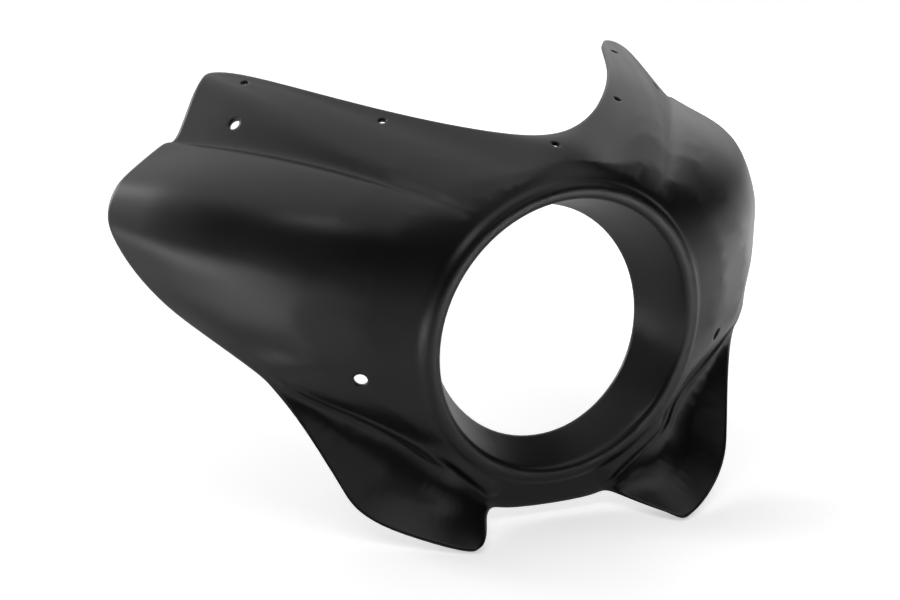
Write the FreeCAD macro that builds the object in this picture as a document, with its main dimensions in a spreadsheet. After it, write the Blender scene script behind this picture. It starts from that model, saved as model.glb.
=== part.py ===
import FreeCAD, Part
import math
import os

from FreeCAD import Rotation, Vector

# Motorcycle semi-fairing: one moulded plastic shell that wraps the headlamp.
# Millimetres, +Z up, -Y to the front, +X to the right as seen from the front.
# The origin is the centre of the lamp opening, in the plane of its front lip.
# The shell is symmetric about the plane X = 0.

doc = FreeCAD.newDocument("semi_fairing")
sheet = doc.addObject("Spreadsheet::Sheet", "sizes")

# Driving sizes: alias, value, what it is
SIZES = [
    ("wall", 3.0, "thickness of the moulded wall"),
    ("lip_radius", 95.0, "front lip of the lamp opening"),
    ("rim_radius", 79.2, "rear rim of the lamp collar"),
    ("rim_back", 41.0, "rear rim centre behind the lip"),
    ("rim_drop", 3.5, "rear rim centre below the lip centre"),
    ("rim_pitch", 9.2, "rear rim leans back, degrees"),
    ("lip_round", 4.0, "size of the rounded inner lip"),
    ("face_width", 9.0, "rounded bead of the lamp ring"),
    ("bead_rise", 1.8, "height of the bead over the lip"),
    ("face_slope", 0.10, "how far the face falls back per mm"),
    ("ring_step", 6.0, "drop from the ring to the skin"),
    ("ring_blend", 9.0, "width of the shoulder and hollow round the ring"),
    ("crest_rise", 2.2, "height of the lobe's crest over the cheek"),
    ("groove_width", 8.0, "groove between the cheek and the crest"),
    ("groove_depth", 3.2, "depth of that groove"),
    ("lobe_dish", 0.16, "depth of a lobe's hollow face, as a share of its width"),
    ("border_width", 4.0, "rounded border of a lobe"),
    ("screen_hole_diameter", 5.5, "five holes for the screen's screws"),
    ("upper_hole_diameter", 8.0, "two holes for the upper bracket"),
    ("lower_hole_diameter", 9.5, "two holes for the lower bracket"),
]
for row, (alias, value, note) in enumerate(SIZES, start=1):
    sheet.set("A%d" % row, note)
    sheet.set("B%d" % row, str(value))
    sheet.setAlias("B%d" % row, alias)
doc.recompute()


def size(alias):
    return float(sheet.get(alias))


# Guides of the skin. Each entry is a turn about the lamp, in degrees from the top,
# and a point: the crown is half way out and the edge is the trimmed outline.
CROWN = [
    (0, (0, 29, 122.8)),
    (8, (21, 30, 121.5)),
    (15, (45, 43, 117.5)),
    (22, (74, 68, 120.2)),
    (27, (97, 93, 122.3)),
    (30, (110, 107, 123)),
    (36, (127.8, 105.5, 114)),
    (37.5, (133, 103, 107.2)),
    (39, (138.6, 101.7, 100.8)),
    (41, (146.6, 99.6, 100.3)),
    (45, (160.5, 95.2, 95.6)),
    (52, (181, 88, 83)),
    (60, (191, 84, 66.5)),
    (68, (198, 81, 47)),
    (76, (198, 77, 32)),
    (84, (193, 69, 14)),
    (90, (184, 58, 0)),
    (95, (173.5, 48, -12)),
    (99, (164, 40, -19)),
    (105, (138, 28, -35)),
    (108.5, (127, 23, -41.5)),
    (114.3, (113, 18, -51)),
    (125, (95, 11.5, -67)),
    (135.5, (79, 6, -80.5)),
    (149.5, (56, 4, -96)),
    (157, (43, 3, -106)),
    (170, (19.5, 2.6, -113.5)),
    (180, (0, 2.6, -114)),
]

EDGE = [
    (0, (0, 44, 126)),
    (8, (30, 54, 127.2)),
    (15, (64, 85, 128.9)),
    (22, (106, 137, 132.7)),
    (27, (134, 188.5, 134)),
    (30, (151, 224.5, 131.5)),
    (36, (171.8, 220.6, 125.4)),
    (37.5, (183.5, 211, 110)),
    (39, (195.7, 201.4, 94.4)),
    (41, (202, 204, 91.2)),
    (45, (214.6, 202.3, 84)),
    (52, (229.5, 198, 75.5)),
    (60, (241.5, 195, 66.5)),
    (68, (249, 190, 50)),
    (76, (248, 180, 35)),
    (84, (238, 163, 14)),
    (90, (227, 137, -1)),
    (95, (211.3, 114.5, -14)),
    (98.5, (191.7, 76.6, -28.7)),
    (100.5, (186, 71, -34.4)),
    (102.6, (181.3, 66.3, -40.4)),
    (104.7, (176.8, 61.3, -46.3)),
    (108.6, (169.8, 51, -57.5)),
    (112.9, (163.7, 41.8, -69)),
    (116.8, (158.4, 32.2, -80.1)),
    (120.8, (153.2, 22.8, -91.4)),
    (124.8, (147.8, 13.5, -102.7)),
    (127, (144.1, 8.9, -108.6)),
    (128.8, (140, 4.4, -112.4)),
    (131.2, (132.2, -3.9, -115.9)),
    (134.9, (120.1, -15.2, -119.5)),
    (138.6, (107.7, -25.6, -122.1)),
    (141.4, (98.9, -31.8, -123.9)),
    (144.3, (89.9, -37.3, -125.2)),
    (147.2, (81, -41.4, -125.7)),
    (148.8, (75.5, -40, -124.8)),
    (150.5, (70, -33.8, -123.8)),
    (152.9, (62.5, -22.2, -122.6)),
    (155.8, (54.7, -8.9, -121.5)),
    (157.4, (50, 0, -120.2)),
    (159, (46, 3.4, -119.2)),
    (163, (37, 3.3, -120.4)),
    (171, (19.5, 3.2, -121.8)),
    (180, (0, 3.2, -122.2)),
]

# The crest is the crisp upper edge of a lobe, by the same turns
CREST = [
    (99, (190, 69, -30)),
    (101.5, (177.1, 60.6, -36)),
    (104.6, (164.8, 53, -43)),
    (108.2, (149.3, 43.3, -49.2)),
    (113.6, (132, 35, -57.7)),
    (120.5, (113.1, 25.3, -66.8)),
    (127.1, (100, 14, -75.5)),
    (130.8, (93, 7.4, -80.2)),
    (135.8, (83.7, 3.9, -86)),
    (142.4, (72.7, 3.2, -94.6)),
    (149.5, (61.3, 2.9, -104)),
    (155.7, (50.7, 2.3, -112.2)),
    (160, (44, 2.6, -117)),
]
# Where things happen round the lamp, in degrees of turn from the top
LOBE_START = 98.5
LOBE_GROWTH = 6.0
LOBE_END = 158.8
LOBE_FADE = 3.0
FLAT_TURNS = (100.0, 132.0)
NARROW_TURNS = (112.0, 132.0)
STRAIGHT_TURNS = (113.0, 132.0)
CROWD_TURNS = (60.0, 97.0)
SPREAD_TURNS = (138.0, 158.0)
GROOVE_TURNS = (100.0, 122.0)
INNER_TURNS = (124.0, 138.0)


def ramp(value, start, end):
    """0 before start, 1 after end, with a smooth rise between them."""
    share = min(max((value - start) / (end - start), 0.0), 1.0)
    return share * share * (3.0 - 2.0 * share)


def blend(first, second, share):
    return first * (1.0 - share) + second * share


def along(guide, turn):
    """Point on a guide at a turn: a smooth curve through the guide's points."""
    turns = [entry[0] for entry in guide]
    points = [Vector(*entry[1]) for entry in guide]
    if turn <= turns[0]:
        return points[0]
    if turn >= turns[-1]:
        return points[-1]
    here = max(i for i in range(len(turns) - 1) if turns[i] <= turn)

    def slope(i):
        before = max(i - 1, 0)
        after = min(i + 1, len(turns) - 1)
        return (points[after] - points[before]) / (turns[after] - turns[before])

    span = turns[here + 1] - turns[here]
    share = (turn - turns[here]) / span
    lift = share * share * (3.0 - 2.0 * share)
    leave = share * (1.0 - share) ** 2 * span
    arrive = -share * share * (1.0 - share) * span
    return (points[here] * (1.0 - lift) + points[here + 1] * lift
            + slope(here) * leave + slope(here + 1) * arrive)


def square_to(side, run):
    """Unit normal of the skin between a side direction and a run, to the front."""
    normal = side.cross(run)
    normal.normalize()
    return normal if normal.y < 0.0 else normal * -1.0


def ring_point(turn, radius, back):
    angle = math.radians(turn)
    return Vector(radius * math.sin(angle), back, radius * math.cos(angle))


def rim_point(turn):
    """Point of the collar's rear rim, a circle that leans back."""
    angle = math.radians(turn)
    pitch = math.radians(size("rim_pitch"))
    radius = size("rim_radius")
    return Vector(radius * math.sin(angle),
                  size("rim_back") + radius * math.cos(angle) * math.sin(pitch),
                  radius * math.cos(angle) * math.cos(pitch) - size("rim_drop"))


# Rows out along a spoke, as shares of the skin from the ring to the edge. They
# are even over the wings and crowd towards the edge where a lobe is to begin.
EVEN_SHARES = (0.10, 0.20, 0.31, 0.42, 0.53, 0.63, 0.73, 0.81, 0.88, 0.95, 1.0)
CROWDED_SHARES = (0.13, 0.30, 0.50, 0.70, 0.82, 0.88, 0.91, 0.94, 0.965, 0.985, 1.0)
COLLAR_SHARES = (0.0, 0.35, 0.70)
# The cheek above a lobe has fewer rows, because the lobe takes seven of its own
LOBE_SHARES = (0.32, 0.66, 0.90, 1.0)
# Ring profile: way out (to 1 the bead, to 2 the fall beside it) and share of the step
RING_PROFILE = ((0.4, 0.0), (0.8, 0.0), (1.12, 0.1), (1.36, 0.7), (1.58, 1.15), (2.1, 1.2))
# Towards the middle of the shell the fall narrows, and the groove shrinks with the lobe
FALL_SHARE = 0.45
GROOVE_START_SHARE = 0.35
GROOVE_END_SHARE = 0.8
GROOVE_SEAT_SHARE = 0.34
SHALLOW_GROOVE = 1.8
SUNK_CREST = -1.4
# Small offsets that round the lip, the crest and the border
LIP_INSET = 0.4
LIP_SET_BACK = 0.3
CREST_LEDGE = 0.5
CREST_ROUND = 0.7
CREST_DIP = 0.2
BORDER_SWELL = 0.3
EDGE_ROLL = 0.5
DISH_START_SHARE = 0.20
DISH_DEEP_SHARE = 0.60
DISH_NEAR_SHARE = 0.85


def collar_rows(turn):
    """A straight cone from the collar's rear rim to the lip."""
    rim = rim_point(turn)
    corner = ring_point(turn, size("lip_radius") - LIP_INSET, -LIP_SET_BACK)
    reach = size("lip_round") / (corner - rim).Length
    return [blend(rim, corner, share) for share in COLLAR_SHARES + (1.0 - reach, 1.0)]


def ring_rows(turn):
    """The lamp ring: a rounded bead, its shoulder and the hollow beside it."""
    bead = size("bead_rise")
    width = size("face_width")
    step = size("ring_step") * (1.0 - ramp(turn, *FLAT_TURNS))
    fall = size("ring_blend") * (1.0 - (1.0 - FALL_SHARE) * ramp(turn, *NARROW_TURNS))
    rows = []
    for out, drop in RING_PROFILE:
        radius = size("lip_radius") + (min(out, 1.0) * width + max(out - 1.0, 0.0) * fall)
        back = (size("face_slope") * width * min(out, 1.0)
                - bead * (1.0 - min(drop, 1.0)) + drop * step)
        rows.append(ring_point(turn, radius, back))
    return rows


def skin_rows(turn, start):
    """The skin from the ring to the edge: a plain wing, or a cheek that ends in a lobe."""
    crown = along(CROWN, turn)
    edge = along(EDGE, turn)
    crest = along(CREST, turn)
    straight = ramp(turn, *STRAIGHT_TURNS)

    def parabola(end, share):
        through = blend(crown, blend(start, end, 0.5), straight)
        return (start * ((1.0 - share) * (1.0 - 2.0 * share))
                + through * (4.0 * share * (1.0 - share))
                + end * (share * (2.0 * share - 1.0)))

    crowd = ramp(turn, *CROWD_TURNS) * (1.0 - ramp(turn, *SPREAD_TURNS))
    plain = []
    for even, crowded in zip(EVEN_SHARES, CROWDED_SHARES):
        plain.append(parabola(edge, blend(even, crowded, crowd)))
    # Directions at the crest: along it, in over the cheek and out over the lobe
    side = along(CREST, turn + 0.5) - along(CREST, turn - 0.5)
    if side.Length < 0.001:
        side = Vector(-1, 0, 0)
    inward = blend(crown, start, straight) - crest
    cheek_normal = square_to(side, inward)
    inward.normalize()
    out = edge - crest
    face_normal = square_to(side, out)
    dish = face_normal * (size("lobe_dish") * out.Length)
    out.normalize()
    # The cheek ends beside a groove, which fades towards the middle of the shell
    inner_end = ramp(turn, *INNER_TURNS)
    groove_width = (size("groove_width") * blend(GROOVE_START_SHARE, 1.0, ramp(turn, *GROOVE_TURNS))
                    * blend(1.0, GROOVE_END_SHARE, inner_end))
    rise = blend(size("crest_rise"), SUNK_CREST, inner_end)
    depth = blend(size("groove_depth"), SHALLOW_GROOVE, inner_end)
    cheek_end = crest + inward * groove_width - cheek_normal * rise
    groove = crest + inward * (GROOVE_SEAT_SHARE * groove_width) - cheek_normal * depth
    ledge = crest - groove
    ledge.normalize()
    border = edge - out * size("border_width")
    lobed = [parabola(cheek_end, share) for share in LOBE_SHARES]
    lobed.append(groove)
    lobed.append(crest - ledge * CREST_LEDGE)
    lobed.append(crest + out * CREST_ROUND - face_normal * CREST_DIP)
    lobed.append(blend(crest, border, DISH_START_SHARE) - dish * DISH_NEAR_SHARE)
    lobed.append(blend(crest, border, DISH_DEEP_SHARE) - dish)
    lobed.append(border + face_normal * BORDER_SWELL)
    lobed.append(edge - face_normal * EDGE_ROLL)
    lobe = (ramp(turn, LOBE_START, LOBE_START + LOBE_GROWTH)
            * (1.0 - ramp(turn, LOBE_END - LOBE_FADE, LOBE_END)))
    return [blend(first, second, lobe) for first, second in zip(plain, lobed)]


def spoke_rows(turn):
    """Points of one spoke, from the collar's rear rim out to the edge."""
    rows = collar_rows(turn) + ring_rows(turn)
    return rows + skin_rows(turn, rows[-1])


# Knots of the skin round the lamp, in degrees from the top: closer where it turns quickly
FULL_TURN = 360.0
HALF_TURN = 180.0
WING_DEGREES = [0, 9, 17, 24, 29, 32.5, 35, 37, 38.2, 39.2, 40.5, 43, 48, 55, 62, 69, 76, 83, 90]
LOBE_DEGREES = [95, 99, 102, 105, 110, 116, 122, 126, 130, 136, 141, 145, 148, 151, 154, 156.5,
                159, 163, 170]
HALF_KNOTS = WING_DEGREES + LOBE_DEGREES + [HALF_TURN]
KNOTS = HALF_KNOTS + [FULL_TURN - turn for turn in HALF_KNOTS[-2::-1]]
AROUND = len(KNOTS) - 1
DEGREE = 3


def knot_turn(i):
    return KNOTS[i % AROUND] + FULL_TURN * (i // AROUND)


def net_turn(i):
    """Turn of the net's spoke i: the mean of the three knots that it answers to."""
    return (knot_turn(i - 2) + knot_turn(i - 1) + knot_turn(i)) / 3.0


def net_spoke(i):
    turn = net_turn(i) % FULL_TURN
    if turn > HALF_TURN:
        return [Vector(-point.x, point.y, point.z) for point in spoke_rows(FULL_TURN - turn)]
    return spoke_rows(turn)


def closed_skin(net):
    """Smooth surface over a net of spokes, closed round the lamp."""
    across = len(net[0])
    degree = min(DEGREE, across - 1)
    knots = list(range(across - degree + 1))
    ends = [degree + 1] + [1] * (len(knots) - 2) + [degree + 1]
    surface = Part.BSplineSurface()
    surface.buildFromPolesMultsKnots(
        net, [1] * (AROUND + 1), ends, KNOTS, knots, True, False, DEGREE, degree)
    return surface


def row_place(row, last):
    """Where a row of the net acts across the skin."""
    return sum(max(0.0, min(last, row - k)) for k in range(DEGREE)) / DEGREE


def set_back(surface, net, depth, rows):
    """Chosen rows of a net moved in by a depth, along the surface's normals."""
    last = surface.getVKnots()[-1]
    moved = []
    for i, spoke in enumerate(net):
        u = net_turn(i) % FULL_TURN
        moved.append([spoke[row] - surface.normal(u, row_place(row, last)) * depth for row in rows])
    return moved


def tightened(net):
    """Net drawn out so that the smooth skin passes through the spokes' own points."""
    drawn = []
    for i, spoke in enumerate(net):
        before = net[i - 1]
        after = net[(i + 1) % len(net)]
        drawn.append([point - (first + last - point * 2.0) / 6.0
                      for first, point, last in zip(before, spoke, after)])
    return drawn


outer_net = tightened([net_spoke(i) for i in range(AROUND)])
outer = closed_skin(outer_net)
# The inner skin is plainer: it leaves out four rows of the lip, the ring and the crest
PLAINER_ROWS = (3, 5, 7, 17)
inner_rows = [row for row in range(len(outer_net[0])) if row not in PLAINER_ROWS]
inner = closed_skin(set_back(outer, outer_net, size("wall"), inner_rows))

# Rows of the loft, by their place across the skin: close together where it turns
# quickly (lip, shoulder, hollow, crest and rolled border)
OUTER_CUTS = [0, 2.5, 3.2, 4.0, 5.0, 6.0, 6.8, 7.6, 8.5, 10.0, 11.8, 12.9, 13.6,
              14.1, 14.6, 15.0, 15.35, 15.65, 16.1, 16.8, 17.8, 19]
INNER_CUTS = [0, 2.2, 3.4, 5.2, 7.2, 8.8, 10.6, 12.0, 13.0, 14.0, 15]


def half_rows(surface, places):
    """Closed curves round the lamp, each as a right and a left half."""
    for place in places:
        curve = surface.vIso(place)
        row = doc.addObject("Part::Feature", "row_%02d" % len(loft_rows))
        row.Shape = Part.Wire([curve.toShape(0.0, HALF_TURN), curve.toShape(HALF_TURN, FULL_TURN)])
        loft_rows.append(row)


# The moulding is one loft: out along the outer skin and back along the inner one
loft_rows = []
half_rows(outer, OUTER_CUTS)
half_rows(inner, INNER_CUTS[::-1])
moulding = doc.addObject("Part::Loft", "moulding")
moulding.Sections = loft_rows
moulding.Ruled = True
moulding.Closed = True
moulding.Solid = True
doc.recompute()

# Holes: name, diameter, a point near the skin. Each one stands square to the skin.
HOLES = [
    ("screen_hole_middle", "screen_hole_diameter", (0, 30.4, 123.5)),
    ("screen_hole_right", "screen_hole_diameter", (92.1, 102.5, 127.9)),
    ("screen_hole_left", "screen_hole_diameter", (-92.1, 102.5, 127.9)),
    ("screen_hole_right_end", "screen_hole_diameter", (147.8, 198.3, 132.5)),
    ("screen_hole_left_end", "screen_hole_diameter", (-147.8, 198.3, 132.5)),
    ("upper_hole_right", "upper_hole_diameter", (168.5, 171, 112)),
    ("upper_hole_left", "upper_hole_diameter", (-168.5, 171, 112)),
    ("lower_hole_right", "lower_hole_diameter", (139.7, 23.8, -24.7)),
    ("lower_hole_left", "lower_hole_diameter", (-139.7, 23.8, -24.7)),
]
# A drill reaches this many walls to each side of the skin
DRILL_SHARE = 4.0
drills = []
for name, diameter, near in HOLES:
    u, v = outer.parameter(Vector(*near))
    normal = outer.normal(u, v)
    middle = outer.value(u, v) - normal * (0.5 * size("wall"))
    drill = doc.addObject("Part::Cylinder", name)
    drill.setExpression("Radius", "sizes.%s / 2" % diameter)
    drill.setExpression("Height", "sizes.wall * %.1f" % (2.0 * DRILL_SHARE))
    start = middle - normal * (DRILL_SHARE * size("wall"))
    drill.Placement = FreeCAD.Placement(start, Rotation(Vector(0, 0, 1), normal))
    drills.append(drill)
doc.recompute()
drilled = doc.addObject("Part::MultiFuse", "drilled")
drilled.Shapes = drills
shell = doc.addObject("Part::Cut", "shell")
shell.Base = moulding
shell.Tool = drilled
shell.Label = "fairing_shell"
shell.Placement = FreeCAD.Placement()
doc.recompute()

for item in doc.Objects:
    if "Invalid" in item.State or "Error" in item.State:
        raise RuntimeError("%s: %s" % (item.Name, item.State))
if shell.Shape.isNull() or not shell.Shape.isValid() or len(shell.Shape.Solids) != 1:
    raise RuntimeError("the shell is not one valid solid")
os.makedirs("parts", exist_ok=True)
shell.Shape.exportStep("parts/%s.step" % shell.Label)
print("fairing_shell", len(shell.Shape.Faces), shell.Shape.BoundBox)
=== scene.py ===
# %% [markdown]
# # A satin black semi-fairing for a motorcycle
# The object is one moulded plastic shell. It wraps a round headlamp, spreads into two swept
# wings and ends in two scooped lobes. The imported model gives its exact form, so this lesson
# is about what makes a black plastic part look real: smooth shading over a moulded skin, a
# grain so fine that it only softens the reflections, and soft studio light to reflect.

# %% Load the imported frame
import math
import bpy
from mathutils import Matrix, Vector


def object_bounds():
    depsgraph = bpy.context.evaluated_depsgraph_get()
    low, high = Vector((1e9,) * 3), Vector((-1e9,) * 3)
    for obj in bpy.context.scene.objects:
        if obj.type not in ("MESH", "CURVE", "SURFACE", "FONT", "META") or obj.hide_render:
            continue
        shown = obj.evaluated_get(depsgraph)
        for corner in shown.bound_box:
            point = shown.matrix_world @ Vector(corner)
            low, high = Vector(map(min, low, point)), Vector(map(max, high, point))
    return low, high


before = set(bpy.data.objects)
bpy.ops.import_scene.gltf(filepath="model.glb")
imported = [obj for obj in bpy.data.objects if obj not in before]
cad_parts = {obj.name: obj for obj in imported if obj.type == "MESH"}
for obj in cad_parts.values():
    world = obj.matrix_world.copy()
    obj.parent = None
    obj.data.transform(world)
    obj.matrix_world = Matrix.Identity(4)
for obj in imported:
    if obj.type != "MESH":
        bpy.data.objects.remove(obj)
cad_low, cad_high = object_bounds()
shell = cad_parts["fairing_shell"]


def short(vector):
    """A vector in metres, rounded to a millimetre for printing."""
    return tuple(round(c, 3) for c in vector)


print("shell from", short(cad_low), "to", short(cad_high))

# %% [markdown]
# A model from a CAD program arrives as loose triangles, face by face, so each face shows
# its own border. Three modifiers turn it into one skin without touching the mesh: Weld joins
# the corners that lie on each other, Edge Split keeps the trimmed rims and the holes crisp,
# and Weighted Normal lets the large faces lead, so that a highlight runs on without ripples.

# %% Join and smooth the moulded skin
JOIN_DISTANCE = 0.00002
RIM_ANGLE = 42.0
shell.data.shade_smooth()
weld = shell.modifiers.new("join_corners", "WELD")
weld.merge_threshold = JOIN_DISTANCE
split = shell.modifiers.new("keep_trimmed_rims", "EDGE_SPLIT")
split.split_angle = math.radians(RIM_ANGLE)
split.use_edge_sharp = False
normals = shell.modifiers.new("even_highlights", "WEIGHTED_NORMAL")
normals.mode = "FACE_AREA_WITH_ANGLE"
normals.keep_sharp = True
print("modifiers on the shell:", [modifier.name for modifier in shell.modifiers])

# %% [markdown]
# The plastic is almost black, and what the eye reads is the sheen on it. Its nodes could be
# wired by hand in the editor, but a script is easier to change. A first helper sets up an
# empty material and hands back its node tree. A second one keeps later cells short: it adds
# a node and fills in its sockets by name.

# %% Helpers for node trees
def new_material(name):
    """An empty node material with a Principled shader, ready to be wired."""
    material = bpy.data.materials.new(name)
    material.use_nodes = True
    tree = material.node_tree
    tree.nodes.clear()
    output = tree.nodes.new("ShaderNodeOutputMaterial")
    shader = tree.nodes.new("ShaderNodeBsdfPrincipled")
    tree.links.new(shader.outputs["BSDF"], output.inputs["Surface"])
    return material, tree, shader


def add_node(tree, kind, **values):
    """A node with its sockets set by name, an underscore standing for a space."""
    node = tree.nodes.new(kind)
    for socket, value in values.items():
        node.inputs[socket.replace("_", " ")].default_value = value
    return node


print("helpers:", new_material.__name__, "and", add_node.__name__)

# %% [markdown]
# A moulded part of this kind has a spark-eroded grain: a fine, even pebbling well under a
# millimetre wide. It could be displaced, but from a step away it only spreads the highlight,
# so bump is enough. The grain goes into a node group, because a group can be tried on a
# second material with no rewiring. Two sizes of noise keep it from looking printed. The group
# takes the skin's own normal as an input, so that the grain lies on top of rounded edges.

# %% A node group for the moulded grain
PEBBLES_PER_METRE, PEBBLE_HEIGHT = 1500.0, 0.00006
SWELLS_PER_METRE, SWELL_HEIGHT, SWELL_STRENGTH = 38.0, 0.0006, 0.05
grain = bpy.data.node_groups.new("moulded_grain", "ShaderNodeTree")
grain.interface.new_socket("Strength", in_out="INPUT", socket_type="NodeSocketFloat")
grain.interface.new_socket("Skin", in_out="INPUT", socket_type="NodeSocketVector")
grain.interface.new_socket("Normal", in_out="OUTPUT", socket_type="NodeSocketVector")
grain_in = grain.nodes.new("NodeGroupInput")
grain_out = grain.nodes.new("NodeGroupOutput")
place = grain.nodes.new("ShaderNodeTexCoord")
pebbles = add_node(grain, "ShaderNodeTexNoise", Scale=PEBBLES_PER_METRE, Detail=2.0, Roughness=0.55)
swell = add_node(grain, "ShaderNodeTexNoise", Scale=SWELLS_PER_METRE, Detail=1.0, Roughness=0.4)
fine_bump = add_node(grain, "ShaderNodeBump", Distance=PEBBLE_HEIGHT)
wide_bump = add_node(grain, "ShaderNodeBump", Strength=SWELL_STRENGTH, Distance=SWELL_HEIGHT)
grain.links.new(place.outputs["Object"], pebbles.inputs["Vector"])
grain.links.new(place.outputs["Object"], swell.inputs["Vector"])
grain.links.new(grain_in.outputs["Strength"], fine_bump.inputs["Strength"])
grain.links.new(grain_in.outputs["Skin"], wide_bump.inputs["Normal"])
grain.links.new(swell.outputs["Fac"], wide_bump.inputs["Height"])
grain.links.new(pebbles.outputs["Fac"], fine_bump.inputs["Height"])
grain.links.new(wide_bump.outputs["Normal"], fine_bump.inputs["Normal"])
grain.links.new(fine_bump.outputs["Normal"], grain_out.inputs["Normal"])
print("grain nodes:", len(grain.nodes))

# %% [markdown]
# Black plastic is not one black. Moulding and handling leave it a little duller in cloudy
# patches. Here one soft noise moves the roughness by a few hundredths and the colour by less,
# and the grain group feeds the normal. No moulded edge is knife sharp either: a Bevel node
# rounds the shading over three millimetres, so the lip, the rims and the crests each catch a
# thin line of light.

# %% Satin black moulded plastic
CLOUDS_PER_METRE = 9.0
CLOUD_LOW, CLOUD_HIGH = 0.3, 0.7
GLOSSIEST, DULLEST = 0.32, 0.38
DEEP_BLACK = (0.0026, 0.0026, 0.0028, 1.0)
WORN_BLACK = (0.0040, 0.0040, 0.0042, 1.0)
GRAIN_STRENGTH = 0.35
EDGE_ROUNDING = 0.003
plastic, tree, shader = new_material("satin_black_plastic")
place = tree.nodes.new("ShaderNodeTexCoord")
clouds = add_node(tree, "ShaderNodeTexNoise", Scale=CLOUDS_PER_METRE, Detail=4.0, Roughness=0.6)
dull = add_node(tree, "ShaderNodeMapRange", From_Min=CLOUD_LOW, From_Max=CLOUD_HIGH,
                To_Min=GLOSSIEST, To_Max=DULLEST)
tint = tree.nodes.new("ShaderNodeValToRGB")
low_stop, high_stop = tint.color_ramp.elements
low_stop.position, low_stop.color = CLOUD_LOW, DEEP_BLACK
high_stop.position, high_stop.color = CLOUD_HIGH, WORN_BLACK
surface_grain = tree.nodes.new("ShaderNodeGroup")
surface_grain.node_tree = grain
surface_grain.inputs["Strength"].default_value = GRAIN_STRENGTH
rounded = add_node(tree, "ShaderNodeBevel", Radius=EDGE_ROUNDING)
rounded.samples = 8
tree.links.new(rounded.outputs["Normal"], surface_grain.inputs["Skin"])
tree.links.new(place.outputs["Object"], clouds.inputs["Vector"])
tree.links.new(clouds.outputs["Fac"], dull.inputs["Value"])
tree.links.new(clouds.outputs["Fac"], tint.inputs["Fac"])
tree.links.new(dull.outputs["Result"], shader.inputs["Roughness"])
tree.links.new(tint.outputs["Color"], shader.inputs["Base Color"])
tree.links.new(surface_grain.outputs["Normal"], shader.inputs["Normal"])
for slot in shell.material_slots:
    slot.material = plastic
print("plastic on", len(shell.material_slots), "slot")

# %% [markdown]
# The part stands on white paper. The paper is a real floor, lit by the same light as the
# object, so it catches a soft shadow and shows in the lower half of each reflection. Lit like
# that, it would photograph as pale grey. More light would wash out the part, so the paper
# itself gives a little more to the camera's own rays, and to those through glass.

# %% The pale floor
FLOOR_SIZE = 12.0
FLOOR_GAP = 0.001
PAPER_WHITE = (0.86, 0.86, 0.86, 1.0)
PAPER_ROUGHNESS = 0.9
PAPER_LIFT = 0.50


def straight_look(tree):
    """1 for the camera's own rays and those through glass, 0 for the others."""
    rays = tree.nodes.new("ShaderNodeLightPath")
    either = tree.nodes.new("ShaderNodeMath")
    either.operation = "MAXIMUM"
    tree.links.new(rays.outputs["Is Camera Ray"], either.inputs[0])
    tree.links.new(rays.outputs["Is Transmission Ray"], either.inputs[1])
    return either.outputs["Value"]


floor_z = cad_low.z - FLOOR_GAP
bpy.ops.mesh.primitive_plane_add(size=FLOOR_SIZE, location=(0.0, 0.0, floor_z))
floor = bpy.context.active_object
floor.name = "paper_floor"
paper, tree, shader = new_material("white_paper")
shader.inputs["Base Color"].default_value = PAPER_WHITE
shader.inputs["Roughness"].default_value = PAPER_ROUGHNESS
shader.inputs["Specular IOR Level"].default_value = 0.0
shader.inputs["Emission Color"].default_value = (1.0, 1.0, 1.0, 1.0)
whiten = tree.nodes.new("ShaderNodeMath")
whiten.operation = "MULTIPLY"
whiten.inputs[1].default_value = PAPER_LIFT
tree.links.new(straight_look(tree), whiten.inputs[0])
tree.links.new(whiten.outputs["Value"], shader.inputs["Emission Strength"])
floor.data.materials.append(paper)
print("floor at", round(floor_z, 3))

# %% [markdown]
# Black plastic is drawn by what it mirrors, so the room matters more than any lamp. It is a
# tent of white cloth: bright overhead and behind, open and dark towards the camera. It could
# be built of large lit sheets, but zones of the world, each a soft cap round a direction, are
# smoother and quicker. A straight look meets plain white, and a mirrored one meets the cloth,
# which is white behind the part.

# %% The white tent
world = bpy.data.worlds.new("white_tent")
bpy.context.scene.world = world
world.use_nodes = True
tree = world.node_tree
tree.nodes.clear()
output = tree.nodes.new("ShaderNodeOutputWorld")
direction = tree.nodes.new("ShaderNodeTexCoord")


def cloth(axis, rim, core, strength):
    """A soft cap of cloth round an axis, dark at its rim and at full strength at its core.

    Both borders are cosines of the angle between a ray and the axis.
    """
    dot = tree.nodes.new("ShaderNodeVectorMath")
    dot.operation = "DOT_PRODUCT"
    dot.inputs[1].default_value = Vector(axis).normalized()
    soft = add_node(tree, "ShaderNodeMapRange", From_Min=rim, From_Max=core, To_Max=strength)
    soft.interpolation_type = "SMOOTHSTEP"
    tree.links.new(direction.outputs["Generated"], dot.inputs[0])
    tree.links.new(dot.outputs["Value"], soft.inputs["Value"])
    return soft.outputs["Result"]


def brighter(first, second):
    """The brighter of two zones."""
    pick = tree.nodes.new("ShaderNodeMath")
    pick.operation = "MAXIMUM"
    tree.links.new(first, pick.inputs[0])
    tree.links.new(second, pick.inputs[1])
    return pick.outputs["Value"]


roof = cloth(axis=(-0.10, 0.25, 0.96), rim=0.62, core=1.0, strength=1.0)
wall_behind = cloth(axis=(0.0, 1.0, 0.0), rim=0.10, core=0.80, strength=1.05)
room = add_node(tree, "ShaderNodeBackground", Color=(1.0, 1.0, 1.0, 1.0))
white = add_node(tree, "ShaderNodeBackground", Color=(1.0, 1.0, 1.0, 1.0), Strength=1.0)
mix = tree.nodes.new("ShaderNodeMixShader")
tree.links.new(brighter(roof, wall_behind), room.inputs["Strength"])
tree.links.new(straight_look(tree), mix.inputs[0])
tree.links.new(room.outputs["Background"], mix.inputs[1])
tree.links.new(white.outputs["Background"], mix.inputs[2])
tree.links.new(mix.outputs["Shader"], output.inputs["Surface"])
print("tent nodes:", len(tree.nodes))

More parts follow.
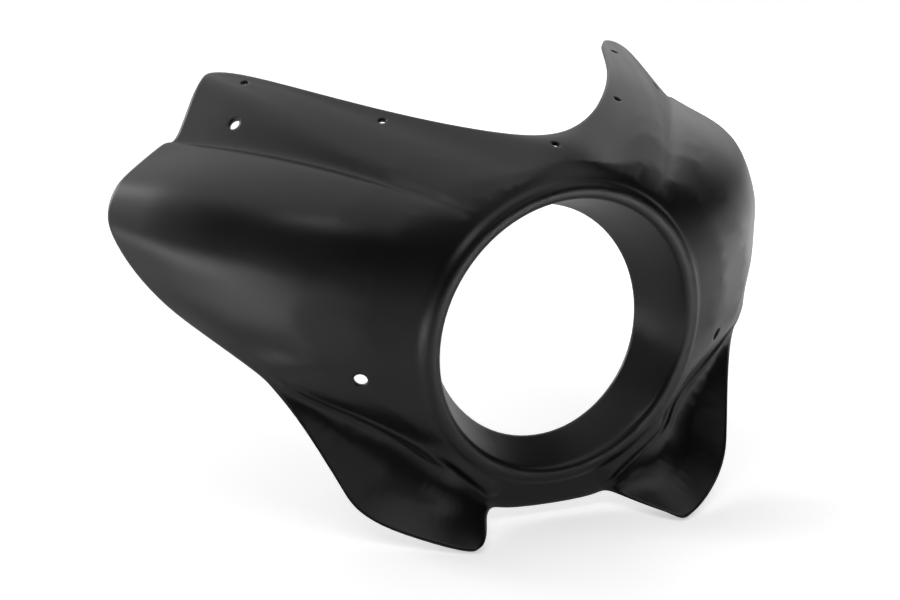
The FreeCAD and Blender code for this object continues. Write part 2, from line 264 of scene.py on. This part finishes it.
# %% [markdown]
# A few soft lamps add what a tent can't. Four of them draw bright lines on the lip, the crests
# and the edges of the wings. Three hang over the paper with a narrow spread, so they light
# only the paper, and the belly of each cheek mirrors a bright patch. All of them are hidden
# from the camera, so that no other view meets a lamp.

# %% Soft light
WIDE_SPREAD, NARROW_SPREAD = 180.0, 40.0


def soft_sheet(name, place, target, width, height, power, spread=WIDE_SPREAD):
    """An area light at a place, turned to a target."""
    data = bpy.data.lights.new(name, "AREA")
    data.shape = "RECTANGLE"
    data.size = width
    data.size_y = height
    data.energy = power
    data.spread = math.radians(spread)
    lamp = bpy.data.objects.new(name, data)
    bpy.context.scene.collection.objects.link(lamp)
    lamp.visible_camera = False
    aim = Vector(target) - Vector(place)
    turned = aim.to_track_quat("-Z", "Y").to_matrix().to_4x4()
    lamp.matrix_world = Matrix.Translation(place) @ turned
    return lamp


def paper_sheet(name, place, size, power):
    """A square light that looks straight down and lights only a patch of the paper."""
    below = (place[0], place[1], floor_z)
    return soft_sheet(name, place, below, size, size, power, NARROW_SPREAD)


centre = (cad_low + cad_high) / 2.0
lamps = [
    soft_sheet("back_left_sheet", (-1.10, 1.60, 0.55), centre, width=0.6, height=0.8, power=14.0),
    soft_sheet("side_sheet", (-1.02, -0.40, 1.20), centre, width=0.4, height=0.4, power=1.5),
    soft_sheet("front_strip", (0.0, -1.3, 1.05), centre, width=0.8, height=0.3, power=0.9),
    soft_sheet("front_right_sheet", (0.75, -0.75, 1.3), centre, width=0.9, height=0.9, power=1.9),
    paper_sheet("left_paper_sheet", (-1.30, 0.0, 1.2), size=0.9, power=20.0),
    paper_sheet("back_paper_sheet", (0.85, 0.45, 1.1), size=0.7, power=2.2),
    paper_sheet("right_paper_sheet", (0.45, -0.75, 1.2), size=0.7, power=6.0),
]
print("lamps:", [lamp.name for lamp in lamps])

# %% [markdown]
# The camera looks from the front left and a little above, through a long lens, with a slight
# roll. It could be placed by eye, but the turn, rise, roll and distance were found by fitting
# the round lip and rim, so that the picture and the photograph agree. Distance, side and lift
# are counted in radii of the lip.

# %% The camera
TURN, RISE, ROLL = -30.096, 19.112, 3.900
DISTANCE, SIDE, LIFT = 24.581, 0.806, -0.244
LIP_RADIUS = 0.095
SENSOR_WIDTH, FOCAL_LENGTH = 36.0, 140.73
VIEW_LIMIT = 50.0
turn, rise, roll = (math.radians(angle) for angle in (TURN, RISE, ROLL))
back = Vector((math.sin(turn) * math.cos(rise), -math.cos(turn) * math.cos(rise), math.sin(rise)))
level = (-back).cross(Vector((0.0, 0.0, 1.0))).normalized()
upright = level.cross(-back)
right = level * math.cos(roll) + upright * math.sin(roll)
top = upright * math.cos(roll) - level * math.sin(roll)
stand = (back * DISTANCE - right * SIDE - top * LIFT) * LIP_RADIUS
lens = bpy.data.cameras.new("long_lens")
lens.sensor_width = SENSOR_WIDTH
lens.lens = FOCAL_LENGTH
lens.clip_end = VIEW_LIMIT
camera = bpy.data.objects.new("camera", lens)
bpy.context.scene.collection.objects.link(camera)
camera.matrix_world = Matrix((
    (right.x, top.x, back.x, stand.x),
    (right.y, top.y, back.y, stand.y),
    (right.z, top.z, back.z, stand.z),
    (0.0, 0.0, 0.0, 1.0),
))
bpy.context.scene.camera = camera
print("camera at", short(stand))

# %% [markdown]
# The last step sets plain colours, so that a black stays as dark as it is written.

bpy.context.scene.view_settings.view_transform = "Standard"
